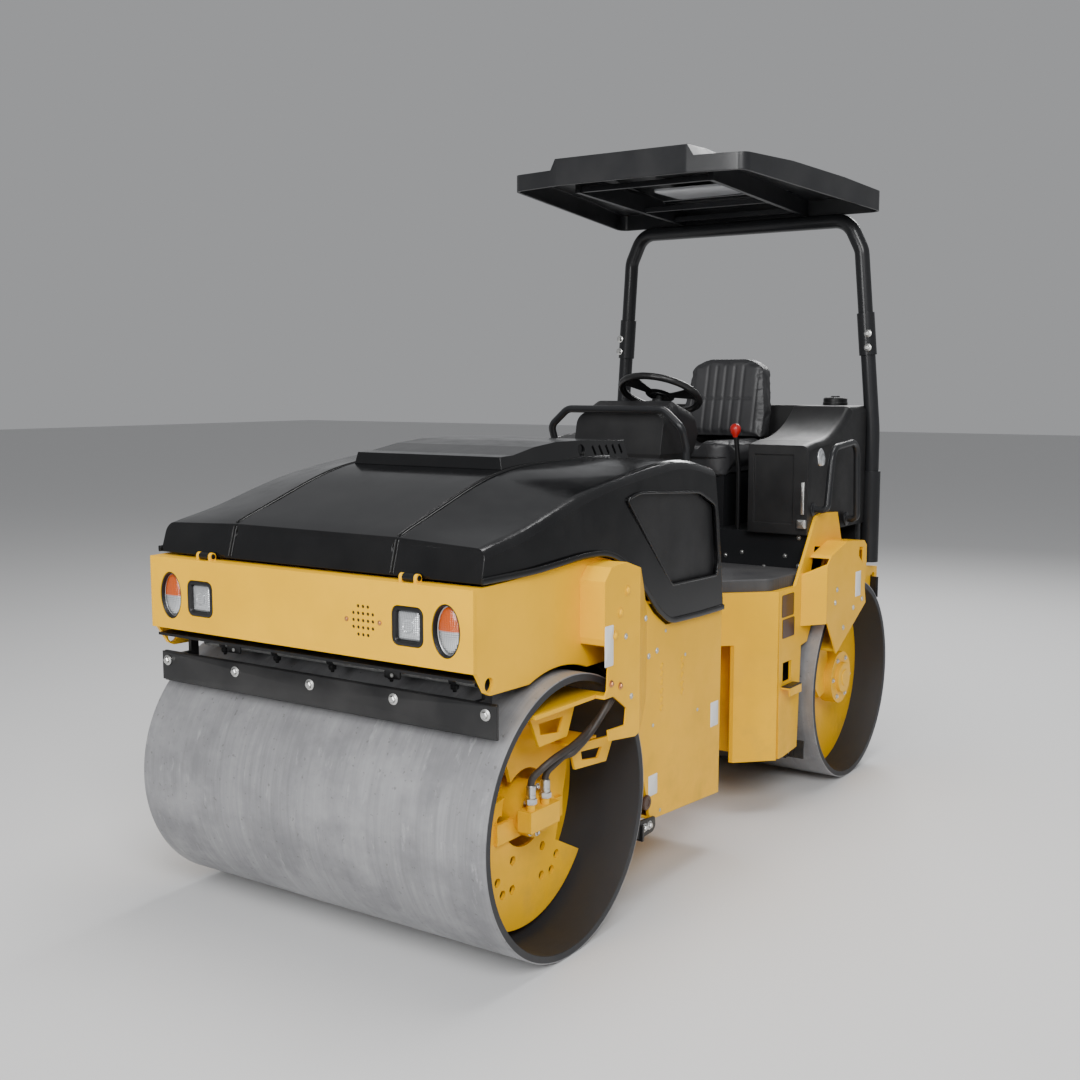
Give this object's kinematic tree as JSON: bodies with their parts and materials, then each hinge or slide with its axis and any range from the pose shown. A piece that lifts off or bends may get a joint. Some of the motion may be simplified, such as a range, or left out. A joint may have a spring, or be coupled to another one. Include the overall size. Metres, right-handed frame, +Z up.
{
  "type": "articulated tandem road roller",
  "caption": "Articulated ride-on roller with two smooth steel drums, tilting hood, driver's platform and canopy.",
  "frame": {"origin": "on the ground under the articulation pin, midway between the drums", "axes": "+X forward along the machine, +Y to the driver's left, +Z up"},
  "size_m": [2.9, 1.376, 2.444],
  "materials": {
    "yellow_paint": "satin",
    "drum_steel": "worn mill steel",
    "hood_black": "satin gloss",
    "panel_black": "matte",
    "frame_black": "satin",
    "black_steel": "satin",
    "engine_grey": "painted cast",
    "bright_steel": "machined",
    "hose_rubber": "matte",
    "lamp_lens": "clear",
    "tail_lens": "moulded",
    "seat_vinyl": "grained vinyl",
    "grip_rubber": "soft",
    "scraper_rubber": "satin"
  },
  "bodies": {
    "rear_frame": {"rear_sides": "yellow_paint", "rear_skirts": "yellow_paint", "rear_pans": "yellow_paint", "pivot_fork": "yellow_paint", "rear_scraper": "scraper_rubber", "rear_spray_bar": "black_steel", "rear_inner_scraper": "black_steel", "rear_beam": "yellow_paint", "rear_lamps": "tail_lens", "rear_arm_left": "yellow_paint", "rear_hub_left": "yellow_paint", "rear_arm_right": "yellow_paint", "rear_carrier_right": "yellow_paint", "rear_motor": "yellow_paint", "rear_hoses": "hose_rubber", "pivot_pin": "bright_steel", "platform_floor": "frame_black", "seat_base": "frame_black", "seat_cushion": "seat_vinyl", "seat_back": "seat_vinyl", "console_left": "panel_black", "console_right": "panel_black", "rear_tank": "panel_black", "steering_tower": "panel_black", "control_levers": "black_steel", "handrails": "black_steel", "rops_posts": "frame_black", "rops_portal": "frame_black", "canopy": "hood_black", "canopy_frame": "frame_black"},
    "pivot": {"pivot_link": "yellow_paint"},
    "front_frame": {"front_sides": "yellow_paint", "front_pans": "yellow_paint", "front_beam": "yellow_paint", "front_lamps": "lamp_lens", "engine_block": "engine_grey", "front_arm_left": "yellow_paint", "front_carrier_left": "yellow_paint", "front_motor": "yellow_paint", "front_hoses": "hose_rubber", "front_arm_right": "yellow_paint", "front_hub_right": "yellow_paint", "front_scraper": "scraper_rubber", "front_spray_bar": "black_steel", "inner_scraper": "scraper_rubber"},
    "hood": {"hood_shell": "hood_black", "hood_scoop": "hood_black", "hood_side_panels": "panel_black", "hood_hinges": "black_steel"},
    "front_drum": {"front_drum_shell": "drum_steel", "front_drum_webs": "yellow_paint"},
    "rear_drum": {"rear_drum_shell": "drum_steel", "rear_drum_webs": "yellow_paint"},
    "steering_wheel": {"steering_wheel": "grip_rubber"},
    "steer_barrel": {"steer_barrel": "black_steel"},
    "steer_rod": {"steer_rod": "bright_steel"}
  },
  "joints": [
    {"name": "steer", "type": "hinge", "parent": "rear_frame", "child": "pivot", "pos_m": [0, 0, 0.425], "axis": [0, 0, 1], "range_deg": [-30, 30]},
    {"name": "oscillate", "type": "hinge", "parent": "pivot", "child": "front_frame", "pos_m": [0, 0, 0.425], "axis": [1, 0, 0], "range_deg": [-8, 8]},
    {"name": "front_roll", "type": "hinge", "parent": "front_frame", "child": "front_drum", "pos_m": [1.05, 0, 0.4], "axis": [0, 1, 0], "continuous": true},
    {"name": "rear_roll", "type": "hinge", "parent": "rear_frame", "child": "rear_drum", "pos_m": [-1.05, 0, 0.4], "axis": [0, 1, 0], "continuous": true},
    {"name": "hood_lift", "type": "hinge", "parent": "front_frame", "child": "hood", "pos_m": [1.413, 0, 1.091], "axis": [0, 1, 0], "range_deg": [0, 60]},
    {"name": "wheel_turn", "type": "hinge", "parent": "rear_frame", "child": "steering_wheel", "pos_m": [-0.6, 0, 1.552], "axis": [-0.4384, 0, 0.8988], "continuous": true},
    {"name": "barrel_swing", "type": "hinge", "parent": "rear_frame", "child": "steer_barrel", "pos_m": [-0.385, -0.16, 0.425], "axis": [0, 0, 1], "range_deg": [-2, 2]},
    {"name": "rod_slide", "type": "slide", "parent": "steer_barrel", "child": "steer_rod", "axis": [0.9997, 0.026, 0], "range_m": [-0.08, 0.08]}
  ],
  "couplings": [
    {"joint": "barrel_swing", "follows": "steer", "ratio": -0.03},
    {"joint": "rod_slide", "follows": "steer", "m_per_rad": 0.143}
  ]
}
